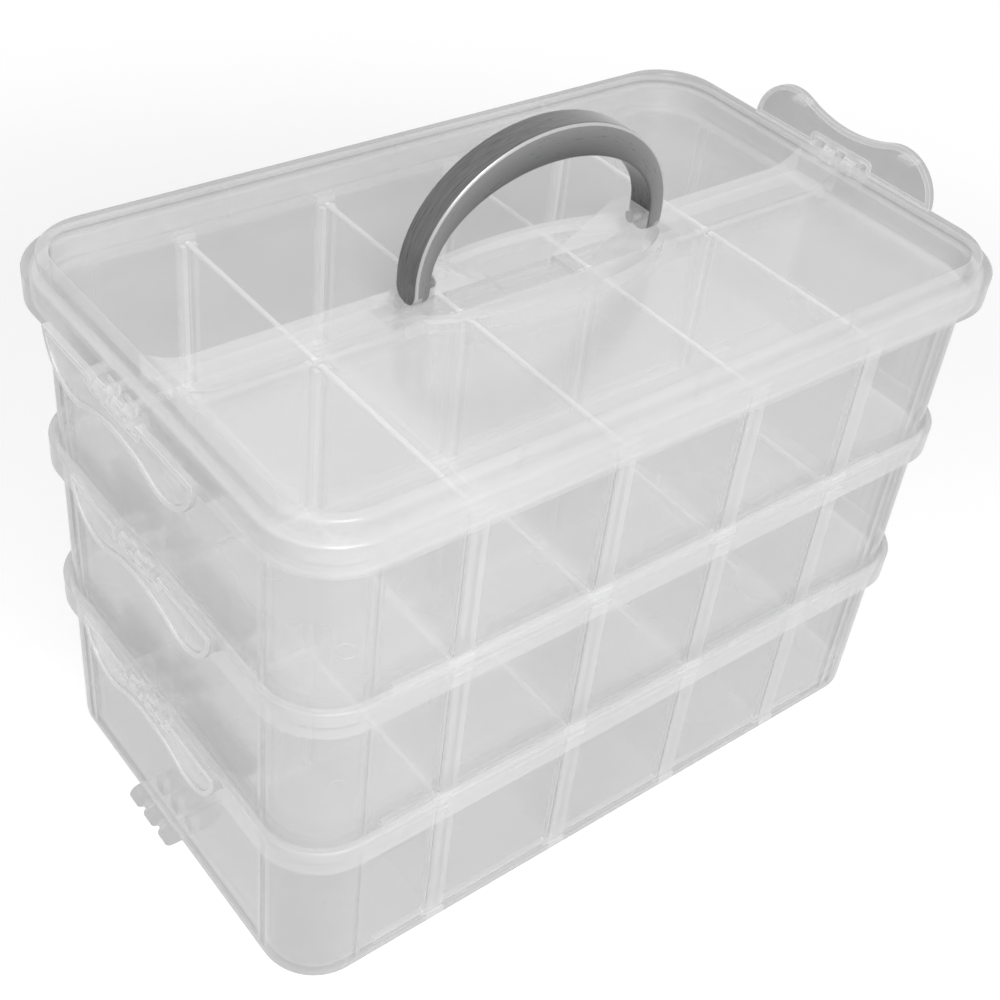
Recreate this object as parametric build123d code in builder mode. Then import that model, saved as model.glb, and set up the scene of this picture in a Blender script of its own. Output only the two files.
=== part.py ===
from build123d import *
from math import asin, cos, degrees, sin
import os

# Stackable craft box: three divided trays, a lid with a folding carry handle, and six snap latches.
# Millimetres. The origin is the middle of the underside of the bottom tray, +X runs along the box,
# +Y to its back and +Z up. A tray's own heights are counted from its underside.

os.makedirs("parts", exist_ok=True)

# Tray shell
tray_length = 235.0  # outside of the walls, along X
tray_width = 140.0  # outside of the walls, along Y
tray_pitch = 53.0  # height that one tray adds to the stack
corner_radius = 17.0
wall = 2.0
floor = 2.0
foot_round = 0.8
panel_recess = 0.8  # how far the wall panels lie behind the corner columns
foot_band = 3.0  # plain strip below the wall panels
corner_rib_width = 1.5  # upright ribs beside the corner columns
corner_rib_gap = 2.5  # groove between such a rib and its column

# Collar round the top of a tray, in which the next tray or the lid sits
collar_rise = 6.5
collar_wall = 2.0
ledge = 2.0  # thickness of the flange below the collar
nest_clearance = 1.0  # between the collar and the foot that sits in it
rim_round = 0.6

# Compartments
column_count = 5
divider_thickness = 1.6
divider_top_gap = 2.0  # free height between a divider and the tray above
divider_end_clearance = 0.3
slot_clearance = 0.2
divider_round = 0.4
centre_wall = 1.8
rib_width = 1.5
rib_depth = 2.0
rib_top_gap = 1.0  # how far the guide ribs stop below the top of the dividers
weld = 0.5  # overlap of features that are moulded in one piece

# Lid
skirt_clearance = 0.5
skirt_wall = 2.0
skirt_gap = 1.0  # the skirt ends this far above the collar's lower edge
seat_gap = 0.3  # between the collar's top and the lid's shoulder
shoulder = 2.0  # thickness of the lid over the collar
shoulder_round = 1.2
border_width = 3.5
border_rise = 4.0  # border above the shoulder
border_round = 1.0
plate = 2.0  # thickness of the recessed top
bar_width = 16.0  # raised bar along the middle
bar_rise = 4.5
bar_sheet = 2.0
channel_margin = 2.5
ramp_length = 12.0  # the bar's ends rise to the border over this length
ramp_sag = 1.0  # hollow of that rise
web_width = 1.2  # upright webs on the inside of the border
web_depth = 1.2
web_spacing = 57.5

# Oval finger dish round the handle
dish_end_gap = 5.0  # dish rim past the outside of the handle's feet
dish_half_width = 17.0
dish_rim = 2.5
dish_depth = 4.0
dish_slope = 2.2  # how far the dish's floor stops inside its rim

# Carry handle
handle_span = 87.0  # over the outsides of the feet
handle_depth = 9.4  # along Y
handle_foot = 5.0  # thickness of the arch at its feet
handle_crown = 10.0  # thickness of the arch at its top
handle_rise = 35.5  # outside of the arch above the straight feet
handle_leg = 2.5
handle_round = 1.0
fold_gap = 0.5  # below the handle when it is folded down
peg_radius = 1.8
peg_length = 3.4
peg_clearance = 0.06
peg_end_gap = 0.4
boss_gap = 1.0
boss_wall = 1.7
boss_half_width = 5.0
boss_flat = 6.0
boss_length = 26.0
boss_tip = 1.0

# Latch hinges and latches
bar_radius = 1.5
knuckle_radius = 3.0
knuckle_width = 4.0
hinge_clearance = 0.08
hinge_side_clearance = 0.3
hinge_gap = 1.5  # between the collar below and the knuckles of a tray
lid_hinge_drop = 1.5  # hinge line below the lid's shoulder
ring_wall = 1.2
ring_width = 4.0
ring_gap = 0.4  # between a latch's rings and the lid's skirt
ring_mouth = 2.4  # opening that snaps over the bar
latch_thickness = 2.0
latch_top_gap = 0.6  # between the fixed knuckles and the latch's plate
latch_gap = 1.3  # between the collar and the latch's plate
wing_gap = 0.6  # between the hinge comb and the latch's wings
wing_drop = 0.5  # upper edge of the wings below the hinge line
latch_half_width = 37.0
latch_dip = 4.5  # hollow in the middle of the latch's lower edge
latch_rim = 1.6
latch_pocket = 0.6
hook_width = 6.0
hook_height = 1.2
hook_lip = 0.5
hook_clearance = 0.3

# Sizes that follow
inner_length = tray_length - 2 * wall
inner_width = tray_width - 2 * wall
inner_radius = corner_radius - wall
socket_length = tray_length + 2 * nest_clearance
socket_width = tray_width + 2 * nest_clearance
socket_radius = corner_radius + nest_clearance
collar_length = socket_length + 2 * collar_wall
collar_width = socket_width + 2 * collar_wall
collar_radius = socket_radius + collar_wall
collar_low = tray_pitch - ledge
collar_top = tray_pitch + collar_rise

column_pitch = (inner_length + divider_thickness) / column_count
divider_places = [(number - column_count / 2) * column_pitch for number in range(1, column_count)]
divider_top = tray_pitch - divider_top_gap
divider_height = divider_top - floor
divider_length = (inner_width - centre_wall) / 2 - 2 * divider_end_clearance
divider_middle = (inner_width + centre_wall) / 4
rib_offset = (divider_thickness + rib_width) / 2 + slot_clearance

comb_pitch = knuckle_width + ring_width + 2 * hinge_side_clearance
comb_length = 2 * comb_pitch + knuckle_width
ring_radius = bar_radius + hinge_clearance + ring_wall
tray_hinge_x = collar_length / 2 + latch_gap + latch_thickness / 2
tray_hinge_z = collar_rise + hinge_gap + knuckle_radius

layers = {"bottom": 0.0, "middle": tray_pitch, "top": 2 * tray_pitch}
stack_top = layers["top"] + tray_pitch
plate_top = stack_top + plate
bar_top = plate_top + bar_rise
shoulder_low = stack_top + collar_rise + seat_gap
shoulder_top = shoulder_low + shoulder
border_top = shoulder_top + border_rise
border_face_top = border_top - border_round  # top of the border's flat inner face
skirt_low = layers["top"] + collar_low + skirt_gap
skirt_hollow_length = collar_length + 2 * skirt_clearance
skirt_hollow_width = collar_width + 2 * skirt_clearance
skirt_hollow_radius = collar_radius + skirt_clearance
skirt_length = skirt_hollow_length + 2 * skirt_wall
skirt_width = skirt_hollow_width + 2 * skirt_wall
skirt_radius = skirt_hollow_radius + skirt_wall
lid_hinge_x = skirt_length / 2 + ring_gap + ring_radius
lid_hinge_z = shoulder_top - lid_hinge_drop

handle_outer = handle_span / 2
handle_inner = handle_outer - handle_foot
pivot_z = bar_top + fold_gap + handle_depth / 2
arch_z = pivot_z + handle_leg
dish_half_length = handle_outer + dish_end_gap
dish_floor = bar_top - dish_depth
boss_face = handle_inner - boss_gap
boss_radius = peg_radius + peg_clearance + boss_wall

latch_top = knuckle_radius + latch_top_gap
tray_hook_drop = tray_hinge_z + ledge + hook_clearance
lid_hook_drop = lid_hinge_z - layers["top"] - collar_low + hook_clearance
latch_drop = tray_hook_drop + hook_height + hook_lip
latch_end_radius = latch_drop - wing_drop
latch_lobe = latch_half_width - latch_end_radius
notch_half = comb_length / 2 + wing_gap
dip_reach = (latch_lobe**2 + latch_dip**2) / (2 * latch_dip)  # from a lobe's centre to the hollow's centre
dip_lean = asin(latch_lobe / dip_reach)
dip_join_x = latch_lobe - latch_end_radius * sin(dip_lean)
dip_join_drop = wing_drop + latch_end_radius * cos(dip_lean)


def save(builder, name):
    """Labels a finished piece and writes it under its name."""
    builder.part.label = name
    export_step(builder.part, f"parts/{name}.step")


def rounded_block(length, width, radius, low, high, mode=Mode.ADD):
    """Adds or cuts an upright block with rounded corners between two heights."""
    with BuildSketch(Plane.XY.offset(low)) as footprint:
        RectangleRounded(length, width, radius)
    extrude(footprint.sketch, amount=high - low, mode=mode)


def add_hinge_comb(root_x, axis_x, axis_z):
    """Adds, on both short sides, three fixed knuckles and the bar that a latch snaps on."""
    for side in (-1, 1):
        for place in (-comb_pitch, 0, comb_pitch):
            with BuildSketch(Plane.XZ.offset(place)) as knuckle:
                with Locations((side * axis_x, axis_z)):
                    Circle(knuckle_radius)
                with Locations((side * (root_x + axis_x) / 2, axis_z)):
                    Rectangle(axis_x - root_x, 2 * knuckle_radius)
            extrude(knuckle.sketch, amount=knuckle_width / 2, both=True)
        with BuildSketch(Plane.XZ) as bar:
            with Locations((side * axis_x, axis_z)):
                Circle(bar_radius)
        extrude(bar.sketch, amount=comb_length / 2, both=True)


def build_tray(name, base):
    """Builds one tray whose underside is at the height base."""
    ledge_top = base + tray_pitch
    inside = base + floor
    with BuildPart() as tray:
        rounded_block(tray_length, tray_width, corner_radius, base, ledge_top)
        fillet(tray.edges().group_by(Axis.Z)[0], foot_round)
        rounded_block(collar_length, collar_width, collar_radius, base + collar_low, base + collar_top)
        fillet(tray.edges().group_by(Axis.Z)[-1], rim_round)
        rounded_block(socket_length, socket_width, socket_radius, ledge_top, base + collar_top, Mode.SUBTRACT)
        rounded_block(inner_length, inner_width, inner_radius, inside, ledge_top, Mode.SUBTRACT)

        # Recessed panels on the four outer walls, between the corner columns
        panel_height = collar_low - foot_band
        panel_middle = base + foot_band + panel_height / 2
        with Locations((0, -tray_width / 2, panel_middle), (0, tray_width / 2, panel_middle)):
            Box(tray_length - 2 * corner_radius, 2 * panel_recess, panel_height, mode=Mode.SUBTRACT)
        with Locations((-tray_length / 2, 0, panel_middle), (tray_length / 2, 0, panel_middle)):
            Box(2 * panel_recess, tray_width - 2 * corner_radius, panel_height, mode=Mode.SUBTRACT)

        # Upright ribs in the panels, beside the corner columns and level with them
        rib_skin = panel_recess + weld
        rib_inset = corner_radius + corner_rib_gap + corner_rib_width / 2
        for side in (-1, 1):
            for end in (-1, 1):
                with Locations(
                    (end * (tray_length / 2 - rib_inset), side * (tray_width - rib_skin) / 2, panel_middle)
                ):
                    Box(corner_rib_width, rib_skin, panel_height)
                with Locations(
                    (end * (tray_length - rib_skin) / 2, side * (tray_width / 2 - rib_inset), panel_middle)
                ):
                    Box(rib_skin, corner_rib_width, panel_height)

        # Fixed wall along the middle, as high as the dividers
        with Locations((0, 0, base + (floor - weld + divider_top) / 2)):
            Box(inner_length + 2 * weld, centre_wall, divider_top - floor + weld)

        # Pairs of guide ribs at both ends of every divider
        rib_height = divider_height - rib_top_gap + weld
        rib_middle = inside - weld + rib_height / 2
        wall_rib_y = inner_width / 2 - (rib_depth - weld) / 2
        centre_rib_y = centre_wall / 2 + (rib_depth - weld) / 2
        rib_spots = []
        for place in divider_places:
            for x in (place - rib_offset, place + rib_offset):
                for y in (-wall_rib_y, -centre_rib_y, centre_rib_y, wall_rib_y):
                    rib_spots.append((x, y, rib_middle))
        with Locations(*rib_spots):
            Box(rib_width, rib_depth + weld, rib_height)

        add_hinge_comb(tray_length / 2 - panel_recess - weld, tray_hinge_x, base + tray_hinge_z)
    save(tray, name)


def build_divider(name, place, row, base):
    """Builds one loose divider, standing on the floor of its tray."""
    with BuildPart() as divider:
        with BuildSketch(Plane.XY.offset(base + floor)):
            with Locations((place, row * divider_middle)):
                Rectangle(divider_thickness, divider_length)
        extrude(amount=divider_height)
        fillet(divider.edges().group_by(Axis.Z)[-1], divider_round)
    save(divider, name)


def build_latch(name, hinge, hook_drop, hook_reach):
    """Builds one latch. The hinge plane lies on the bar, faces out and has the latch hang down it."""
    across = Plane(origin=hinge.origin, x_dir=hinge.z_dir, z_dir=-hinge.x_dir)
    lobes = ((-latch_lobe, -wing_drop), (latch_lobe, -wing_drop))
    with BuildPart() as latch:
        with BuildSketch(hinge.offset(-latch_thickness / 2)) as outline:
            with BuildLine():
                Polyline(
                    (-latch_half_width, -wing_drop),
                    (-notch_half, -wing_drop),
                    (-notch_half, -latch_top),
                    (notch_half, -latch_top),
                    (notch_half, -wing_drop),
                    (latch_half_width, -wing_drop),
                )
                CenterArc(lobes[1], latch_end_radius, 0, -90 - degrees(dip_lean))
                ThreePointArc(
                    (dip_join_x, -dip_join_drop), (0, latch_dip - latch_drop), (-dip_join_x, -dip_join_drop)
                )
                CenterArc(lobes[0], latch_end_radius, 180, 90 + degrees(dip_lean))
            make_face()
        extrude(amount=latch_thickness)

        # Shallow pocket in the outer face, which leaves a raised rim
        with BuildSketch(hinge.offset(latch_thickness / 2 - latch_pocket)):
            add(outline.sketch_local)
            offset(amount=-latch_rim, mode=Mode.REPLACE)
        extrude(amount=latch_pocket, mode=Mode.SUBTRACT)

        # Open rings round the bar, each on a neck down to the plate
        neck = latch_top + weld
        for place in (-comb_pitch / 2, comb_pitch / 2):
            with BuildSketch(across.offset(place)):
                Circle(ring_radius)
                with Locations((0, -neck / 2)):
                    Rectangle(latch_thickness, neck)
                Circle(bar_radius + hinge_clearance, mode=Mode.SUBTRACT)
                with Locations((0, ring_radius / 2)):
                    Rectangle(ring_mouth, ring_radius, mode=Mode.SUBTRACT)
            extrude(amount=ring_width / 2, both=True)

        # Hooks below the collar's lower edge
        hook_middle = -hook_drop - hook_height / 2
        with BuildSketch(hinge.offset(-latch_thickness / 2)):
            with Locations((-latch_lobe, hook_middle), (latch_lobe, hook_middle)):
                Rectangle(hook_width, hook_height)
        extrude(amount=-hook_reach)
    save(latch, name)


for layer, base_height in layers.items():
    build_tray(f"{layer}_tray", base_height)
    for row_name, row_side in (("front", -1), ("back", 1)):
        for number, divider_x in enumerate(divider_places, start=1):
            build_divider(f"{layer}_divider_{row_name}_{number}", divider_x, row_side, base_height)

# Lid: skirt and shoulder over the collar, raised border, and a recessed top that sits on the ledge
with BuildPart() as lid:
    rounded_block(skirt_length, skirt_width, skirt_radius, skirt_low, shoulder_top)
    fillet(lid.edges().group_by(Axis.Z)[-1], shoulder_round)
    fillet(lid.edges().group_by(Axis.Z)[0], rim_round)
    rounded_block(
        skirt_hollow_length, skirt_hollow_width, skirt_hollow_radius, skirt_low, shoulder_low, Mode.SUBTRACT
    )
    rounded_block(
        inner_length + 2 * border_width,
        inner_width + 2 * border_width,
        inner_radius + border_width,
        shoulder_low,
        border_top,
    )
    rounded_block(tray_length, tray_width, corner_radius, stack_top, shoulder_low)
    rounded_block(inner_length, inner_width, inner_radius, plate_top, border_top, Mode.SUBTRACT)
    fillet(lid.edges().group_by(Axis.Z)[-1], border_round)

    # Upright webs on the inside of the front and the back border
    web_y = inner_width / 2 + (weld - web_depth) / 2
    web_spots = []
    for x in (-web_spacing, 0, web_spacing):
        for y in (-web_y, web_y):
            web_spots.append((x, y, (plate_top - weld + border_face_top) / 2))
    with Locations(*web_spots):
        Box(web_width, web_depth + weld, border_face_top - plate_top + weld)

    # Raised bar along the middle
    with Locations((0, 0, (plate_top - weld + bar_top) / 2)):
        Box(inner_length + 2 * weld, bar_width, bar_rise + weld)

    # Ends of the bar, which curve up to the border
    ramp_end = inner_length / 2
    ramp_start = ramp_end - ramp_length
    ramp_sag_z = (bar_top + border_face_top) / 2 - ramp_sag
    for side in (-1, 1):
        with BuildSketch(Plane.XZ):
            with BuildLine():
                ThreePointArc(
                    (side * ramp_start, bar_top),
                    (side * (ramp_start + ramp_end) / 2, ramp_sag_z),
                    (side * ramp_end, border_face_top),
                )
                Polyline(
                    (side * ramp_end, border_face_top),
                    (side * (ramp_end + weld), border_face_top),
                    (side * (ramp_end + weld), plate_top),
                    (side * ramp_start, plate_top),
                    (side * ramp_start, bar_top),
                )
            make_face()
        extrude(amount=bar_width / 2, both=True)

    # Oval rim and hollow of the finger dish
    with BuildSketch(Plane.XY.offset(plate_top - weld)):
        Ellipse(dish_half_length, dish_half_width)
    extrude(amount=bar_rise + weld)
    with BuildSketch(Plane.XY.offset(bar_top)):
        Ellipse(dish_half_length - dish_rim, dish_half_width - dish_rim)
    with BuildSketch(Plane.XY.offset(dish_floor)):
        Ellipse(dish_half_length - dish_rim - dish_slope, dish_half_width - dish_rim - dish_slope)
    loft(mode=Mode.SUBTRACT)

    # Channels that hollow the bar from below
    channel_start = dish_half_length + channel_margin
    channel_end = inner_length / 2 - channel_margin
    channel_height = plate + bar_rise - bar_sheet
    channel_middle = (channel_start + channel_end) / 2
    with Locations(
        (-channel_middle, 0, stack_top + channel_height / 2),
        (channel_middle, 0, stack_top + channel_height / 2),
    ):
        Box(channel_end - channel_start, bar_width - 2 * bar_sheet, channel_height, mode=Mode.SUBTRACT)

    # Ramp-shaped bosses that hold the handle's pegs
    for side in (-1, 1):
        with BuildSketch(Plane.XZ):
            with BuildLine():
                Polyline(
                    (side * boss_face, dish_floor - weld),
                    (side * boss_face, pivot_z + boss_radius),
                    (side * (boss_face - boss_flat), pivot_z + boss_radius),
                    (side * (boss_face - boss_length), dish_floor + boss_tip),
                    (side * (boss_face - boss_length), dish_floor - weld),
                    close=True,
                )
            make_face()
        extrude(amount=boss_half_width, both=True)
        with BuildSketch(Plane.YZ.offset(side * boss_face)):
            with Locations((0, pivot_z)):
                Circle(peg_radius + peg_clearance)
        extrude(amount=-side * (peg_length - boss_gap + peg_end_gap), mode=Mode.SUBTRACT)

    add_hinge_comb(skirt_length / 2 - weld, lid_hinge_x, lid_hinge_z)
save(lid, "lid")

# Carry handle: an arch, thicker at its crown, with round feet and a peg on the inside of each foot
with BuildPart() as handle:
    with BuildSketch(Plane.XZ):
        with Locations((0, arch_z)):
            Ellipse(handle_outer, handle_rise)
            Ellipse(handle_inner, handle_rise - handle_crown, mode=Mode.SUBTRACT)
        with Locations((0, arch_z - handle_rise / 2)):
            Rectangle(handle_span, handle_rise, mode=Mode.SUBTRACT)
        for side in (-1, 1):
            with Locations((side * (handle_outer + handle_inner) / 2, pivot_z + handle_leg / 2)):
                Rectangle(handle_foot, handle_leg)
    extrude(amount=handle_depth / 2, both=True)
    for side in (-1, 1):
        with BuildSketch(Plane.YZ.offset(side * handle_inner)):
            with Locations((0, pivot_z)):
                Circle(handle_depth / 2)
            with Locations((0, pivot_z + handle_depth / 4)):
                Rectangle(handle_depth, handle_depth / 2, mode=Mode.SUBTRACT)
        extrude(amount=side * handle_foot)
    seams = handle.edges().filter_by(Axis.X) + handle.edges().filter_by(Axis.Y)
    fillet(handle.edges() - seams, handle_round)
    for side in (-1, 1):
        with BuildSketch(Plane.YZ.offset(side * (handle_inner + weld))):
            with Locations((0, pivot_z)):
                Circle(peg_radius)
        extrude(amount=-side * (peg_length + weld))
save(handle, "handle")

# Latches: closed at both ends of every joint of the stack, but the lid's right one stands open
for layer in ("middle", "top"):
    hinge_height = layers[layer] + tray_hinge_z
    hook_length = tray_hinge_x - latch_thickness / 2 - collar_length / 2 - hook_clearance
    for side_name, side in (("left", -1), ("right", 1)):
        bar_middle = (side * tray_hinge_x, 0, hinge_height)
        hinge_plane = Plane(origin=bar_middle, x_dir=(0, side, 0), z_dir=(side, 0, 0))
        build_latch(f"{layer}_latch_{side_name}", hinge_plane, tray_hook_drop, hook_length)

lid_hook_length = lid_hinge_x - latch_thickness / 2 - collar_length / 2 - hook_clearance
closed_plane = Plane(origin=(-lid_hinge_x, 0, lid_hinge_z), x_dir=(0, -1, 0), z_dir=(-1, 0, 0))
build_latch("lid_latch_left", closed_plane, lid_hook_drop, lid_hook_length)
open_plane = Plane(origin=(lid_hinge_x, 0, lid_hinge_z), x_dir=(0, 1, 0), z_dir=(-1, 0, 0))
build_latch("lid_latch_right", open_plane, lid_hook_drop, lid_hook_length)
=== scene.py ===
import logging
import math
from dataclasses import dataclass
from enum import Enum
from typing import Any, Sequence

import bmesh
import bpy
from mathutils import Matrix, Vector


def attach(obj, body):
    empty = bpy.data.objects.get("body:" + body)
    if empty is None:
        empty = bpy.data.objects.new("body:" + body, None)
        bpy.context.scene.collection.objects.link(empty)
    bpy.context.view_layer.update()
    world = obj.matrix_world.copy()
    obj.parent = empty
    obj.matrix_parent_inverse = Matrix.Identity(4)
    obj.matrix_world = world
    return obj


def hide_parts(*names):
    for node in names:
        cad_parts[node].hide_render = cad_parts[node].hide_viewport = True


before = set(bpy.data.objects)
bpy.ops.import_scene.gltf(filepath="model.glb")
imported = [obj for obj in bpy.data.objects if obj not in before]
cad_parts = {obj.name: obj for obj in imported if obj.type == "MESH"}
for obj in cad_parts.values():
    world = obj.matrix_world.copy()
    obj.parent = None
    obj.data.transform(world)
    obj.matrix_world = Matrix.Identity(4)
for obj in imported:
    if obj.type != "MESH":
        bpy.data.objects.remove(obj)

# Dresses the clear stacking sewing box: three divided trays, a lid, an arched handle and six snap latches.
# Metres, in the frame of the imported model: +X along the box, +Y to its back, +Z up from the table.

Span = tuple[float, float]
Socket = bpy.types.NodeSocket

LOG = logging.getLogger("sewing_box")
MM = 0.001
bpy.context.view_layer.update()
WHITE = (1.0, 1.0, 1.0, 1.0)
# Most of a noise pattern's values lie between these two
NOISE_SPAN: Span = (0.3, 0.7)
# How steeply the mirror share of a smooth skin rises towards slanted views
MIRROR_POWER = 5.0


class Layer(Enum):
    """The three trays of the stack, with the height of each underside in millimetres."""

    BOTTOM = ("bottom", 0.0)
    MIDDLE = ("middle", 53.0)
    TOP = ("top", 106.0)

    @property
    def label(self) -> str:
        """The word that starts the names of this tray's pieces."""
        return self.value[0]

    @property
    def base(self) -> float:
        """Height of the tray's underside, in millimetres."""
        return self.value[1]


class Slot(Enum):
    """Names of the material slots."""

    CLEAR = "clear_plastic"
    HANDLE = "handle_grey"


def srgb(code: str) -> tuple[float, float, float, float]:
    """Turns an sRGB hex colour into linear values.

    Args:
        code: Six hex digits, with or without a leading hash.

    Returns:
        Linear red, green and blue, and an alpha of 1.
    """
    digits = code.lstrip("#")
    channels = [int(digits[place:place + 2], 16) / 255 for place in (0, 2, 4)]
    linear = [c / 12.92 if c <= 0.04045 else ((c + 0.055) / 1.055) ** 2.4 for c in channels]
    return linear[0], linear[1], linear[2], 1.0


def add_node(
    tree: bpy.types.NodeTree,
    kind: str,
    links: dict[Any, Socket] | None = None,
    values: dict[Any, Any] | None = None,
    **settings: Any,
) -> bpy.types.Node:
    """Adds one node to a tree, with its settings, fixed inputs and incoming links.

    Args:
        tree: The tree that gets the node.
        kind: Blender's name for the type of node.
        links: Input name or number to the output that feeds it.
        values: Input name or number to its fixed value.
        **settings: Properties of the node itself.

    Returns:
        The new node.
    """
    node = tree.nodes.new(kind)
    for name, value in settings.items():
        setattr(node, name, value)
    for key, value in (values or {}).items():
        node.inputs[key].default_value = value
    for key, source in (links or {}).items():
        tree.links.new(source, node.inputs[key])
    return node


def new_material(name: str) -> tuple[bpy.types.Material, bpy.types.NodeTree, bpy.types.Node]:
    """Makes an empty node material.

    Args:
        name: The material's name.

    Returns:
        The material, its tree and its output node.
    """
    material = bpy.data.materials.new(name)
    material.use_nodes = True
    tree = material.node_tree
    tree.nodes.clear()
    return material, tree, add_node(tree, "ShaderNodeOutputMaterial")


@dataclass(frozen=True)
class Zone:
    """A stretch of a moulding that looks whiter, mostly where it holds more plastic along the line of sight;
    on the lid's plate front the extra white is painted sheen.

    The spans are millimetres. Those along X and Y count from the middle of the box to both sides, and the
    span to the front counts from the middle to the front only.
    """

    milk: float
    x: Span | None = None
    y: Span | None = None
    z: Span | None = None
    front: Span | None = None

    def share(self, tree: bpy.types.NodeTree, place: dict[str, Socket]) -> Socket:
        """Adds the nodes that tell whether a point lies in the zone.

        Args:
            tree: The material's tree.
            place: The point's distances, by axis.

        Returns:
            An output that is 1 inside the zone and 0 outside it.
        """
        inside: Socket | None = None
        for axis, span in (("x", self.x), ("y", self.y), ("z", self.z), ("front", self.front)):
            if span is None:
                continue
            middle, half = (span[0] + span[1]) / 2 * MM, (span[1] - span[0]) / 2 * MM
            hit = add_node(
                tree, "ShaderNodeMath", {0: place[axis]}, {1: middle, 2: half}, operation="COMPARE",
            ).outputs[0]
            if inside is not None:
                hit = add_node(tree, "ShaderNodeMath", {0: inside, 1: hit}, operation="MULTIPLY").outputs[0]
            inside = hit
        return inside


@dataclass(frozen=True)
class ClearPolypropylene:
    """Natural polypropylene, injection moulded: see-through with a milky haze, and whiter along its edges."""

    name: str
    zones: tuple[Zone, ...] = ()
    haze: float = 0.12
    graze: float = 0.35
    graze_power: float = 3.0
    body: str = "#fafafa"
    tint: str = "#fbfbfb"
    lamplight: str = "#fefefe"
    roughness: float = 0.25
    skin_roughness: float = 0.18
    ior: float = 1.49
    cloud_mm: float = 45.0
    cloud_swing: Span = (0.75, 1.25)
    peel_mm: float = 6.0
    peel_strength: float = 0.05
    peel_depth_mm: float = 0.12

    def milk(self, tree: bpy.types.NodeTree, point: Socket, facing: Socket) -> Socket:
        """Adds the nodes for how milky each spot is.

        Args:
            tree: The material's tree.
            point: Object coordinates.
            facing: 0 where the wall is seen straight on, 1 where it is seen edge on.

        Returns:
            The share of the light that the haze scatters.
        """
        # The melt flows into the mould in clouds some centimetres long
        clouds = add_node(
            tree, "ShaderNodeTexNoise", {"Vector": point},
            {"Scale": 1 / (self.cloud_mm * MM), "Detail": 1.0},
        )
        milk = add_node(
            tree, "ShaderNodeMapRange", {"Value": clouds.outputs["Fac"]},
            {"From Min": NOISE_SPAN[0], "From Max": NOISE_SPAN[1],
             "To Min": self.cloud_swing[0] * self.haze, "To Max": self.cloud_swing[1] * self.haze},
        ).outputs["Result"]
        # A slanted view goes through more of the wall
        steep = add_node(tree, "ShaderNodeMath", {0: facing}, {1: self.graze_power}, operation="POWER")
        milk = add_node(
            tree, "ShaderNodeMath", {0: steep.outputs[0], 2: milk}, {1: self.graze},
            operation="MULTIPLY_ADD",
        ).outputs[0]
        both_sides = add_node(tree, "ShaderNodeVectorMath", {0: point}, operation="ABSOLUTE")
        off_middle = add_node(tree, "ShaderNodeSeparateXYZ", {0: both_sides.outputs[0]}).outputs
        axes = add_node(tree, "ShaderNodeSeparateXYZ", {0: point}).outputs
        front = add_node(tree, "ShaderNodeMath", {0: axes["Y"]}, {1: -1.0}, operation="MULTIPLY")
        place = {
            "x": off_middle["X"], "y": off_middle["Y"], "z": off_middle["Z"], "front": front.outputs[0],
        }
        for zone in self.zones:
            milk = add_node(
                tree, "ShaderNodeMath", {0: zone.share(tree, place), 2: milk}, {1: zone.milk},
                operation="MULTIPLY_ADD",
            ).outputs[0]
        return milk

    def build(self) -> bpy.types.Material:
        """Builds the material.

        Returns:
            A mix of a clear film, a milky body and a mirror-like skin, which lets in most of the lamplight.
        """
        material, tree, out = new_material(self.name)
        point = add_node(tree, "ShaderNodeTexCoord").outputs["Object"]
        # At this blend the output rises evenly from straight on to edge on
        facing = add_node(tree, "ShaderNodeLayerWeight", None, {"Blend": 0.5}).outputs["Facing"]

        # Faint orange peel of a moulded skin
        peel = add_node(
            tree, "ShaderNodeTexNoise", {"Vector": point},
            {"Scale": 1 / (self.peel_mm * MM), "Detail": 0.0},
        )
        bump = add_node(
            tree, "ShaderNodeBump", {"Height": peel.outputs["Fac"]},
            {"Strength": self.peel_strength, "Distance": self.peel_depth_mm * MM},
        )
        film = add_node(tree, "ShaderNodeBsdfTransparent", None, {"Color": srgb(self.tint)})
        body = add_node(
            tree, "ShaderNodeBsdfPrincipled", {"Normal": bump.outputs[0]},
            {"Base Color": srgb(self.body), "Roughness": self.roughness, "IOR": self.ior},
        )
        wall = add_node(
            tree, "ShaderNodeMixShader",
            {0: self.milk(tree, point, facing), 1: film.outputs[0], 2: body.outputs[0]},
        )
        skin = add_node(
            tree, "ShaderNodeBsdfGlossy", {"Normal": bump.outputs[0]}, {"Roughness": self.skin_roughness},
        )
        # The mirror share of a plastic skin rises at slanted views, on both faces of a wall alike
        straight = ((self.ior - 1) / (self.ior + 1)) ** 2
        slant = add_node(tree, "ShaderNodeMath", {0: facing}, {1: MIRROR_POWER}, operation="POWER")
        mirror = add_node(
            tree, "ShaderNodeMath", {0: slant.outputs[0]}, {1: 1 - straight, 2: straight},
            operation="MULTIPLY_ADD",
        )
        shine = add_node(
            tree, "ShaderNodeMixShader", {0: mirror.outputs[0], 1: wall.outputs[0], 2: skin.outputs[0]},
        )
        # The haze scatters lamplight forwards, so walls behind walls stay lit
        lamps = add_node(tree, "ShaderNodeLightPath").outputs["Is Shadow Ray"]
        through = add_node(tree, "ShaderNodeBsdfTransparent", None, {"Color": srgb(self.lamplight)})
        lit = add_node(tree, "ShaderNodeMixShader", {0: lamps, 1: shine.outputs[0], 2: through.outputs[0]})
        tree.links.new(lit.outputs[0], out.inputs["Surface"])
        return material


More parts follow.
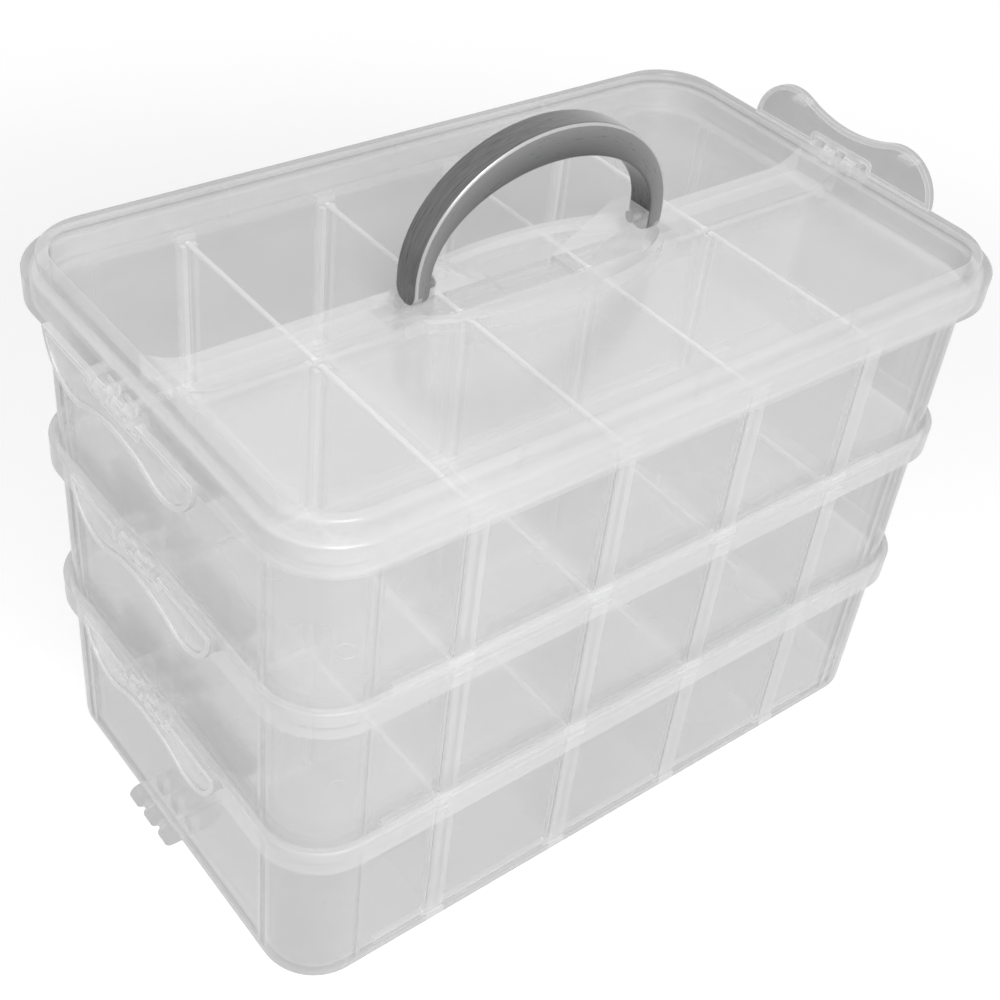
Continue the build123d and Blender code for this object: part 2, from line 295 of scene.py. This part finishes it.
@dataclass(frozen=True)
class SilverHandlePlastic:
    """Polypropylene with silver pigment, injection moulded: a satin grey with fine rubbing marks along the
    arch, painted shade on its band and inner sides, and a painted highlight on its outer edges.
    """

    name: str = "silver_grey_moulded_plastic"
    # Painted shade: the band is coloured darker than the sides, and the sides darker towards the inside of
    # the arch
    side: str = "#929293"
    inner_side: str = "#5c5c5d"
    band: str = "#4e4e4f"
    scuff: str = "#757576"
    # Colour of the painted highlight on the outer edges
    rubbed: str = "#c6c6c6"
    metallic: float = 0.3
    roughness: float = 0.30
    gloss_swing: Span = (-0.05, 0.08)
    ior: float = 1.49
    coat: float = 0.3
    coat_roughness: float = 0.12
    arch_mm: float = 173.2
    outer_mm: Span = (43.5, 35.5)
    streak_mm: float = 0.45
    streak_length_mm: float = 7.0
    streak_span: Span = (0.25, 0.78)
    side_fade: Span = (0.76, 0.99)
    side_facing: Span = (0.3, 0.9)
    edge_facing: float = 0.72
    edge_reach: float = 0.26
    edge_out: float = 0.95
    # How strongly the painted highlight lightens the outer edges
    wear: float = 0.75
    grain_mm: float = 0.5
    grain_strength: float = 0.10
    grain_depth_mm: float = 0.04

    def arch(self, tree: bpy.types.NodeTree, point: Socket) -> tuple[Socket, Socket, bpy.types.Node]:
        """Adds the nodes for a point's place on the arch.

        Args:
            tree: The material's tree.
            point: Object coordinates.

        Returns:
            The share of the way out from the middle (1 on the outside), the angle round the arch, and the
            node that splits the place into its axes.
        """
        centred = add_node(
            tree, "ShaderNodeVectorMath", {0: point}, {1: (0, 0, self.arch_mm * MM)}, operation="SUBTRACT",
        )
        axes = add_node(tree, "ShaderNodeSeparateXYZ", {0: centred.outputs[0]})
        round_arch = add_node(
            tree, "ShaderNodeVectorMath", {0: centred.outputs[0]},
            {1: (1 / (self.outer_mm[0] * MM), 0, 1 / (self.outer_mm[1] * MM))}, operation="MULTIPLY",
        )
        out = add_node(tree, "ShaderNodeVectorMath", {0: round_arch.outputs[0]}, operation="LENGTH")
        angle = add_node(
            tree, "ShaderNodeMath", {0: axes.outputs["Z"], 1: axes.outputs["X"]}, operation="ARCTAN2",
        )
        return out.outputs["Value"], angle.outputs[0], axes

    def scuffs(self, tree: bpy.types.NodeTree, angle: Socket, axes: bpy.types.Node, out: Socket) -> Socket:
        """Adds the nodes for fine rubbing marks that follow the arch.

        Args:
            tree: The material's tree.
            angle: Angle round the arch.
            axes: The node that splits the place into its axes.
            out: Share of the way out from the middle.

        Returns:
            An output from 0 to 1.
        """
        along = add_node(
            tree, "ShaderNodeMath", {0: angle},
            {1: self.outer_mm[0] * MM * self.streak_mm / self.streak_length_mm}, operation="MULTIPLY",
        )
        depth = add_node(tree, "ShaderNodeMath", {0: out}, {1: self.outer_mm[0] * MM}, operation="MULTIPLY")
        rolled = add_node(
            tree, "ShaderNodeCombineXYZ", {0: along.outputs[0], 1: axes.outputs["Y"], 2: depth.outputs[0]},
        )
        noise = add_node(
            tree, "ShaderNodeTexNoise", {"Vector": rolled.outputs[0]},
            {"Scale": 1 / (self.streak_mm * MM), "Detail": 3.0, "Roughness": 0.65},
        )
        return add_node(
            tree, "ShaderNodeMapRange", {"Value": noise.outputs["Fac"]},
            {"From Min": self.streak_span[0], "From Max": self.streak_span[1]},
        ).outputs["Result"]

    def colour(self, tree: bpy.types.NodeTree, flat: Socket, out: Socket, scuffs: Socket) -> Socket:
        """Adds the nodes for the handle's colour, with its painted shade and painted highlight.

        Args:
            tree: The material's tree.
            flat: 1 on the flat sides and 0 on the band round the arch.
            out: Share of the way out from the middle.
            scuffs: Strength of the rubbing marks.

        Returns:
            The colour of each spot.
        """
        # Painted shade: the band round the arch is coloured darker than the flat sides
        band = add_node(
            tree, "ShaderNodeMix", {"Factor": scuffs}, {6: srgb(self.band), 7: srgb(self.scuff)},
            data_type="RGBA",
        )
        # Painted shade: the flat sides darken towards the inside of the arch
        outward = add_node(
            tree, "ShaderNodeMapRange", {"Value": out},
            {"From Min": self.side_fade[0], "From Max": self.side_fade[1]},
        )
        side = add_node(
            tree, "ShaderNodeMix", {"Factor": outward.outputs["Result"]},
            {6: srgb(self.inner_side), 7: srgb(self.side)}, data_type="RGBA",
        )
        side_share = add_node(
            tree, "ShaderNodeMapRange", {"Value": flat},
            {"From Min": self.side_facing[0], "From Max": self.side_facing[1]},
        )
        plain = add_node(
            tree, "ShaderNodeMix",
            {"Factor": side_share.outputs["Result"], 6: band.outputs[2], 7: side.outputs[2]},
            data_type="RGBA",
        )
        # Painted highlight: the outer edges are lightened along the rounding, where the skin faces neither
        # out nor sideways
        rounding = add_node(
            tree, "ShaderNodeMath", {0: flat}, {1: self.edge_facing, 2: self.edge_reach}, operation="COMPARE",
        )
        outside = add_node(tree, "ShaderNodeMath", {0: out}, {1: self.edge_out}, operation="GREATER_THAN")
        edge = add_node(
            tree, "ShaderNodeMath", {0: rounding.outputs[0], 1: outside.outputs[0]}, operation="MULTIPLY",
        )
        highlight_share = add_node(tree, "ShaderNodeMath", {0: edge.outputs[0]}, {1: self.wear}, operation="MULTIPLY")
        return add_node(
            tree, "ShaderNodeMix", {"Factor": highlight_share.outputs[0], 6: plain.outputs[2]}, {7: srgb(self.rubbed)},
            data_type="RGBA",
        ).outputs[2]

    def build(self) -> bpy.types.Material:
        """Builds the material.

        Returns:
            A satin grey with painted shade, dark on the band round the arch and on the inner sides, lighter
            on the outer sides, and a painted highlight on its outer edges.
        """
        material, tree, output = new_material(self.name)
        coords = add_node(tree, "ShaderNodeTexCoord")
        out, angle, axes = self.arch(tree, coords.outputs["Object"])
        scuffs = self.scuffs(tree, angle, axes, out)
        normal = add_node(tree, "ShaderNodeSeparateXYZ", {0: coords.outputs["Normal"]})
        flat = add_node(tree, "ShaderNodeMath", {0: normal.outputs["Y"]}, operation="ABSOLUTE").outputs[0]
        grain = add_node(
            tree, "ShaderNodeTexNoise", {"Vector": coords.outputs["Object"]},
            {"Scale": 1 / (self.grain_mm * MM), "Detail": 2.0},
        )
        bump = add_node(
            tree, "ShaderNodeBump", {"Height": grain.outputs["Fac"]},
            {"Strength": self.grain_strength, "Distance": self.grain_depth_mm * MM},
        )
        gloss = add_node(
            tree, "ShaderNodeMapRange", {"Value": scuffs},
            {"To Min": self.roughness + self.gloss_swing[0], "To Max": self.roughness + self.gloss_swing[1]},
        )
        body = add_node(
            tree, "ShaderNodeBsdfPrincipled",
            {"Base Color": self.colour(tree, flat, out, scuffs), "Normal": bump.outputs[0],
             "Roughness": gloss.outputs["Result"]},
            {"Metallic": self.metallic, "IOR": self.ior, "Coat Weight": self.coat,
             "Coat Roughness": self.coat_roughness},
        )
        tree.links.new(body.outputs[0], output.inputs["Surface"])
        return material


def seen_bare(tree: bpy.types.NodeTree) -> Socket:
    """Adds the nodes that tell rays that show the bare backdrop from rays that only carry light.

    Args:
        tree: The tree of the floor or the surround.

    Returns:
        An output that is 1 for mirror and glass rays and for camera rays past the box, and 0 otherwise.
    """
    rays = add_node(tree, "ShaderNodeLightPath").outputs
    # The depth counts the clear faces on the way, so less than a half is none
    past = add_node(tree, "ShaderNodeMath", {0: rays["Transparent Depth"]}, {1: 0.5}, operation="LESS_THAN")
    seen = add_node(
        tree, "ShaderNodeMath", {0: rays["Is Camera Ray"], 1: past.outputs[0]}, operation="MULTIPLY",
    ).outputs[0]
    for other in ("Is Glossy Ray", "Is Transmission Ray"):
        seen = add_node(tree, "ShaderNodeMath", {0: seen, 1: rays[other]}, operation="MAXIMUM").outputs[0]
    return seen


@dataclass(frozen=True)
class WhiteCard:
    """Matt white card for the floor: white where it is seen bare, greyer through plastic and as a light."""

    name: str = "white_card"
    lit: float = 0.51
    bare: float = 1.2
    fade_m: Span = (0.20, 0.55)

    def build(self) -> bpy.types.Material:
        """Builds the material.

        Returns:
            A plain matt white that keeps shadows near the box and runs into the white surround further out.
        """
        material, tree, out = new_material(self.name)
        seen = seen_bare(tree)
        tone = add_node(
            tree, "ShaderNodeMapRange", {"Value": seen}, {"To Min": self.lit, "To Max": self.bare},
        )
        card = add_node(tree, "ShaderNodeBsdfDiffuse", {"Color": tone.outputs["Result"]})
        point = add_node(tree, "ShaderNodeTexCoord").outputs["Object"]
        reach = add_node(tree, "ShaderNodeVectorMath", {0: point}, operation="LENGTH")
        far = add_node(
            tree, "ShaderNodeMapRange", {"Value": reach.outputs["Value"]},
            {"From Min": self.fade_m[0], "From Max": self.fade_m[1]}, interpolation_type="SMOOTHSTEP",
        )
        share = add_node(tree, "ShaderNodeMath", {0: far.outputs["Result"], 1: seen}, operation="MULTIPLY")
        white = add_node(tree, "ShaderNodeEmission", None, {"Color": WHITE, "Strength": 1.0})
        floor = add_node(
            tree, "ShaderNodeMixShader", {0: share.outputs[0], 1: card.outputs[0], 2: white.outputs[0]},
        )
        tree.links.new(floor.outputs[0], out.inputs["Surface"])
        return material


@dataclass(frozen=True)
class Moulding:
    """How a CAD node becomes a finished moulding: one closed skin with smooth curves and crisp edges."""

    slot: Slot
    crease_deg: float = 35.0
    merge_mm: float = 0.002
    face_weight: int = 50

    def skin(self, node: str) -> bpy.types.Mesh:
        """Merges a copy of a node's loose triangles to one skin.

        Args:
            node: The node's name.

        Returns:
            A new closed mesh, smooth but for its creases.
        """
        shape = bmesh.new()
        shape.from_mesh(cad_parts[node].data)
        bmesh.ops.remove_doubles(shape, verts=shape.verts, dist=self.merge_mm * MM)
        for face in shape.faces:
            face.smooth = True
            face.material_index = 0
        crease = math.radians(self.crease_deg)
        for edge in shape.edges:
            edge.smooth = edge.calc_face_angle(math.pi) < crease
        mesh = bpy.data.meshes.new(f"{node}_skin")
        shape.to_mesh(mesh)
        shape.free()
        return mesh

    def build(self, node: str, finish: bpy.types.Material) -> None:
        """Makes the moulding that stands for a node.

        Args:
            node: The node's name, which is its body's name too.
            finish: Its finish.
        """
        mesh = self.skin(node)
        mesh.materials.append(finish)
        blank = bpy.data.objects.new(f"{node}_blank", mesh)
        bpy.context.scene.collection.objects.link(blank)
        # Large faces count for more, so the shading turns on the curves and the flats stay even
        shading = blank.modifiers.new("shading", "WEIGHTED_NORMAL")
        shading.keep_sharp = True
        shading.weight = self.face_weight
        graph = bpy.context.evaluated_depsgraph_get()
        finished = bpy.data.meshes.new_from_object(blank.evaluated_get(graph))
        bpy.data.objects.remove(blank)
        piece = bpy.data.objects.new(f"{node}_moulding", finished)
        finished.name = piece.name
        bpy.context.scene.collection.objects.link(piece)
        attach(piece, node)
        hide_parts(node)
        LOG.info("moulded %s with %d faces", node, len(finished.polygons))


def grow(name: str, tree: bpy.types.NodeTree, inputs: dict[str, Any]) -> bpy.types.Object:
    """Runs a Geometry Nodes tree and keeps its result as a plain mesh.

    Args:
        name: The new piece's name.
        tree: The tree.
        inputs: Value of each named input.

    Returns:
        A mesh object at the origin, with no modifier.
    """
    seed = bpy.data.objects.new(f"{name}_seed", bpy.data.meshes.new(f"{name}_seed"))
    bpy.context.scene.collection.objects.link(seed)
    modifier = seed.modifiers.new("layout", "NODES")
    modifier.node_group = tree
    for socket in tree.interface.items_tree:
        if socket.in_out == "INPUT":
            modifier[socket.identifier] = inputs[socket.name]
    graph = bpy.context.evaluated_depsgraph_get()
    mesh = bpy.data.meshes.new_from_object(seed.evaluated_get(graph))
    mesh.name = name
    bpy.data.objects.remove(seed)
    piece = bpy.data.objects.new(name, mesh)
    bpy.context.scene.collection.objects.link(piece)
    LOG.info("built %s with %d faces", name, len(mesh.polygons))
    return piece


@dataclass
class MouldMarks:
    """Faint round marks that the mould's ejector pins leave on a tray's floor."""

    columns: int = 5
    rows: int = 4
    pitch_x_mm: float = 46.52
    pitch_y_mm: float = 34.0
    radius_mm: float = 2.6
    bead_mm: float = 0.22
    ring_sides: int = 28
    bead_sides: int = 6

    def tree(self) -> bpy.types.NodeTree:
        """Builds the node tree that lays out the rings.

        Returns:
            A tree with inputs for the sizes, the height and the finish.
        """
        tree = bpy.data.node_groups.new("ejector_marks", "GeometryNodeTree")
        sockets = {
            "Width": "NodeSocketFloat", "Depth": "NodeSocketFloat", "Columns": "NodeSocketInt",
            "Rows": "NodeSocketInt", "Radius": "NodeSocketFloat", "Bead": "NodeSocketFloat",
            "Height": "NodeSocketFloat", "Finish": "NodeSocketMaterial",
        }
        for name, kind in sockets.items():
            tree.interface.new_socket(name, in_out="INPUT", socket_type=kind)
        tree.interface.new_socket("Geometry", in_out="OUTPUT", socket_type="NodeSocketGeometry")
        given = add_node(tree, "NodeGroupInput").outputs
        grid = add_node(
            tree, "GeometryNodeMeshGrid",
            {"Size X": given["Width"], "Size Y": given["Depth"],
             "Vertices X": given["Columns"], "Vertices Y": given["Rows"]},
        )
        lift = add_node(tree, "ShaderNodeCombineXYZ", {"Z": given["Height"]})
        spots = add_node(
            tree, "GeometryNodeTransform",
            {"Geometry": grid.outputs["Mesh"], "Translation": lift.outputs[0]},
        )
        path = add_node(
            tree, "GeometryNodeCurvePrimitiveCircle", {"Radius": given["Radius"]},
            {"Resolution": self.ring_sides},
        )
        section = add_node(
            tree, "GeometryNodeCurvePrimitiveCircle", {"Radius": given["Bead"]},
            {"Resolution": self.bead_sides},
        )
        ring = add_node(
            tree, "GeometryNodeCurveToMesh",
            {"Curve": path.outputs["Curve"], "Profile Curve": section.outputs["Curve"]},
        )
        rings = add_node(
            tree, "GeometryNodeInstanceOnPoints",
            {"Points": spots.outputs["Geometry"], "Instance": ring.outputs["Mesh"]},
        )
        real = add_node(tree, "GeometryNodeRealizeInstances", {"Geometry": rings.outputs["Instances"]})
        finished = add_node(
            tree, "GeometryNodeSetMaterial",
            {"Geometry": real.outputs["Geometry"], "Material": given["Finish"]},
        )
        add_node(tree, "NodeGroupOutput", {"Geometry": finished.outputs["Geometry"]})
        return tree

    def build(
        self, layer: Layer, floor_mm: float, tree: bpy.types.NodeTree, finish: bpy.types.Material,
    ) -> None:
        """Makes the marks of one tray.

        Args:
            layer: The tray.
            floor_mm: Thickness of the tray's floor.
            tree: The tree that lays out the rings.
            finish: The tray's plastic.
        """
        inputs = {
            "Width": (self.columns - 1) * self.pitch_x_mm * MM,
            "Depth": (self.rows - 1) * self.pitch_y_mm * MM,
            "Columns": self.columns, "Rows": self.rows, "Radius": self.radius_mm * MM,
            "Bead": self.bead_mm * MM, "Height": (layer.base + floor_mm) * MM, "Finish": finish,
        }
        piece = grow(f"{layer.label}_ejector_marks", tree, inputs)
        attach(piece, f"{layer.label}_tray")


@dataclass
class Tray:
    """One tray with its eight loose dividers."""

    layer: Layer
    moulding: Moulding = Moulding(Slot.CLEAR)
    rows: tuple[str, str] = ("front", "back")
    dividers_per_row: int = 4
    floor_mm: float = 2.0
    foot_mm: float = 3.0
    ledge_mm: float = 51.0
    collar_mm: float = 59.5
    slack_mm: float = 0.3
    ribbed_mm: Span = (-0.1, 90.0)
    wall_rib_mm: Span = (65.9, 67.95)
    centre_rib_mm: Span = (0.95, 2.95)
    strips_mm: tuple[Span, Span] = ((20.1, 26.4), (66.6, 72.9))
    strip_y_mm: Span = (65.8, 70.2)
    divider_lip_mm: float = 0.9
    divider_ends_mm: tuple[Span, Span] = ((1.0, 2.2), (66.6, 67.8))
    collar_milk: float = 0.10
    foot_milk: float = 0.13
    rib_milk: float = 0.25
    strip_milk: float = 0.22
    lip_milk: float = 0.60
    end_milk: float = 0.25

    def finish(self) -> ClearPolypropylene:
        """Sets the tray's plastic.

        Returns:
            A finish that is whiter in the collar, the foot, the guide ribs and the wall behind them.
        """
        base, slack = self.layer.base, self.slack_mm
        return ClearPolypropylene(
            name=f"clear_polypropylene_{self.layer.label}_tray",
            zones=(
                Zone(self.collar_milk, z=(base + self.ledge_mm - slack, base + self.collar_mm + slack)),
                Zone(self.foot_milk, z=(base - slack, base + self.foot_mm)),
                Zone(self.rib_milk, x=self.ribbed_mm, y=self.wall_rib_mm),
                Zone(self.rib_milk, x=self.ribbed_mm, y=self.centre_rib_mm),
            )
            + tuple(Zone(self.strip_milk, x=strip, y=self.strip_y_mm) for strip in self.strips_mm),
        )

    def divider_finish(self) -> ClearPolypropylene:
        """Sets the dividers' plastic.

        Returns:
            A finish that is whiter along the top and the ends.
        """
        top = self.layer.base + self.ledge_mm
        return ClearPolypropylene(
            name=f"clear_polypropylene_{self.layer.label}_dividers",
            zones=(Zone(self.lip_milk, z=(top - self.divider_lip_mm, top + self.slack_mm)),)
            + tuple(Zone(self.end_milk, y=end) for end in self.divider_ends_mm),
        )

    def build(self, marks: MouldMarks, tree: bpy.types.NodeTree) -> None:
        """Makes the tray and its dividers, and adds the marks on its floor.

        Args:
            marks: Sizes of the marks.
            tree: The tree that lays them out.
        """
        plastic = self.finish().build()
        self.moulding.build(f"{self.layer.label}_tray", plastic)
        sheet = self.divider_finish().build()
        for row in self.rows:
            for number in range(1, self.dividers_per_row + 1):
                self.moulding.build(f"{self.layer.label}_divider_{row}_{number}", sheet)
        marks.build(self.layer, self.floor_mm, tree, plastic)


@dataclass
class Lid:
    """The lid with its skirt, border, bar and finger dish."""

    moulding: Moulding = Moulding(Slot.CLEAR)
    border_top_mm: Span = (170.6, 172.1)
    border_mm: Span = (161.3, 171.8)
    plate_mm: Span = (158.7, 161.2)
    plate_front_mm: Span = (8.0, 66.2)
    boss_x_mm: Span = (11.0, 38.0)
    boss_y_mm: Span = (-0.1, 5.2)
    boss_z_mm: Span = (161.6, 176.0)
    dish_x_mm: Span = (-0.1, 48.6)
    dish_y_mm: Span = (5.2, 17.3)
    bar_x_mm: Span = (48.6, 116.0)
    bar_y_mm: Span = (-0.1, 8.2)
    bar_z_mm: Span = (161.2, 165.8)
    border_milk: float = 0.03
    plate_milk: float = 0.10
    boss_milk: float = 0.05
    dish_milk: float = 0.12
    bar_milk: float = 0.06

    def build(self) -> None:
        """Makes the lid, whiter in its border, bar and finger dish and its bosses, with painted sheen on the
        front of its plate.
        """
        finish = ClearPolypropylene(
            name="clear_polypropylene_lid",
            zones=(
                Zone(self.border_milk, z=self.border_top_mm),
                # Painted sheen: the front of the plate is made whiter than its back
                Zone(self.plate_milk, front=self.plate_front_mm, z=self.plate_mm),
                Zone(self.border_milk, z=self.border_mm),
                Zone(self.boss_milk, x=self.boss_x_mm, y=self.boss_y_mm, z=self.boss_z_mm),
                Zone(self.dish_milk, x=self.dish_x_mm, y=self.dish_y_mm, z=self.bar_z_mm),
                Zone(self.bar_milk, x=self.bar_x_mm, y=self.bar_y_mm, z=self.bar_z_mm),
            ),
        )
        self.moulding.build("lid", finish.build())


@dataclass
class Latches:
    """The six snap latches, each with a raised rim round a shallow pocket."""

    shut: tuple[str, ...] = (
        "middle_latch_left", "middle_latch_right", "top_latch_left", "top_latch_right", "lid_latch_left",
    )
    raised: str = "lid_latch_right"
    moulding: Moulding = Moulding(Slot.CLEAR)
    shut_haze: float = 0.25
    shut_rims_mm: tuple[Span, Span] = ((123.5, 124.2), (126.9, 127.6))
    shut_rim_milk: float = 0.22
    raised_haze: float = 0.20
    raised_rim_mm: Span = (124.8, 125.5)
    raised_rim_milk: float = 0.30

    def build(self) -> None:
        """Makes all latches, whiter on the rim."""
        shut = ClearPolypropylene(
            name="clear_polypropylene_latch", haze=self.shut_haze,
            zones=tuple(Zone(self.shut_rim_milk, x=rim) for rim in self.shut_rims_mm),
        ).build()
        for name in self.shut:
            self.moulding.build(name, shut)
        raised = ClearPolypropylene(
            name="clear_polypropylene_open_latch", haze=self.raised_haze,
            zones=(Zone(self.raised_rim_milk, x=self.raised_rim_mm),),
        )
        self.moulding.build(self.raised, raised.build())


@dataclass
class CarryHandle:
    """The arched handle."""

    finish: SilverHandlePlastic = SilverHandlePlastic()
    moulding: Moulding = Moulding(Slot.HANDLE)

    def build(self) -> None:
        """Makes the handle, whose edges are round already."""
        self.moulding.build("handle", self.finish.build())


@dataclass(frozen=True)
class Lamp:
    """A soft square lamp. Its level is the tone that it gives to a white surface that faces it."""

    name: str
    place_m: tuple[float, float, float]
    size_m: float
    level: float

    def build(self, aim: Sequence[float]) -> None:
        """Hangs the lamp.

        Args:
            aim: The point that it faces, in metres.
        """
        path = Vector(aim) - Vector(self.place_m)
        data = bpy.data.lights.new(self.name, "AREA")
        data.size = self.size_m
        data.energy = self.level * (math.pi * path.length) ** 2
        lamp = bpy.data.objects.new(self.name, data)
        lamp.location = self.place_m
        lamp.rotation_euler = path.to_track_quat("-Z", "Y").to_euler()
        bpy.context.scene.collection.objects.link(lamp)


@dataclass
class Studio:
    """Floor, lights and camera."""

    position_mm: tuple[float, float, float] = (-254.0, -275.4, 389.8)
    right: tuple[float, float, float] = (0.78525, -0.611275, 0.098612)
    up: tuple[float, float, float] = (0.333683, 0.551936, 0.764213)
    lens_mm: float = 56.2
    sensor_mm: float = 36.0
    nearest_m: float = 0.01
    floor_half_m: float = 3.0
    floor_drop_mm: float = 0.2
    fill: float = 0.475
    key: Lamp = Lamp("key", (-0.50, -0.87, 1.21), 1.4, 0.16)
    near: Lamp = Lamp("near", (-0.21, -0.56, 0.78), 0.45, 0.55)
    aim_m: tuple[float, float, float] = (0.0, 0.0, 0.1)
    clear_faces: int = 64
    bounces: int = 6
    haze_bounces: int = 2
    mirror_bounces: int = 2

    def floor(self) -> None:
        """Lays the pale floor under the box."""
        mesh = bpy.data.meshes.new("floor")
        half = self.floor_half_m
        corners = [(-half, -half, 0), (half, -half, 0), (half, half, 0), (-half, half, 0)]
        mesh.from_pydata(corners, [], [(0, 1, 2, 3)])
        mesh.materials.append(WhiteCard().build())
        card = bpy.data.objects.new("floor", mesh)
        card.location.z = -self.floor_drop_mm * MM
        bpy.context.scene.collection.objects.link(card)

    def world(self) -> None:
        """Sets an even white surround, full white where it is seen and softer as light."""
        world = bpy.data.worlds.new("surround")
        world.use_nodes = True
        tree = world.node_tree
        tree.nodes.clear()
        strength = add_node(
            tree, "ShaderNodeMapRange", {"Value": seen_bare(tree)}, {"To Min": self.fill, "To Max": 1.0},
        )
        glow = add_node(
            tree, "ShaderNodeBackground", {"Strength": strength.outputs["Result"]}, {"Color": WHITE},
        )
        add_node(tree, "ShaderNodeOutputWorld", {"Surface": glow.outputs[0]})
        bpy.context.scene.world = world

    def camera(self) -> None:
        """Puts the camera at the photograph's viewing angle."""
        data = bpy.data.cameras.new("camera")
        data.lens = self.lens_mm
        data.sensor_width = self.sensor_mm
        data.clip_start = self.nearest_m
        camera = bpy.data.objects.new("camera", data)
        right, up = Vector(self.right).normalized(), Vector(self.up).normalized()
        turn = Matrix((right, up, right.cross(up))).transposed().to_4x4()
        camera.matrix_world = Matrix.Translation(Vector(self.position_mm) * MM) @ turn
        bpy.context.scene.collection.objects.link(camera)
        bpy.context.scene.camera = camera

    def build(self) -> None:
        """Sets up the whole studio."""
        self.floor()
        self.world()
        self.key.build(self.aim_m)
        self.near.build(self.aim_m)
        self.camera()
        scene = bpy.context.scene
        scene.view_settings.view_transform = "Standard"
        # A line of sight through the whole stack meets some forty clear faces
        scene.cycles.transparent_max_bounces = self.clear_faces
        scene.cycles.max_bounces = self.bounces
        scene.cycles.diffuse_bounces = self.haze_bounces
        scene.cycles.glossy_bounces = self.mirror_bounces


def main() -> None:
    """Builds and dresses every sub-assembly in order."""
    logging.basicConfig(level=logging.INFO, format="%(message)s")
    marks = MouldMarks()
    layout = marks.tree()
    for layer in Layer:
        Tray(layer).build(marks, layout)
    Lid().build()
    Latches().build()
    CarryHandle().build()
    Studio().build()


if __name__ == "__main__":
    main()
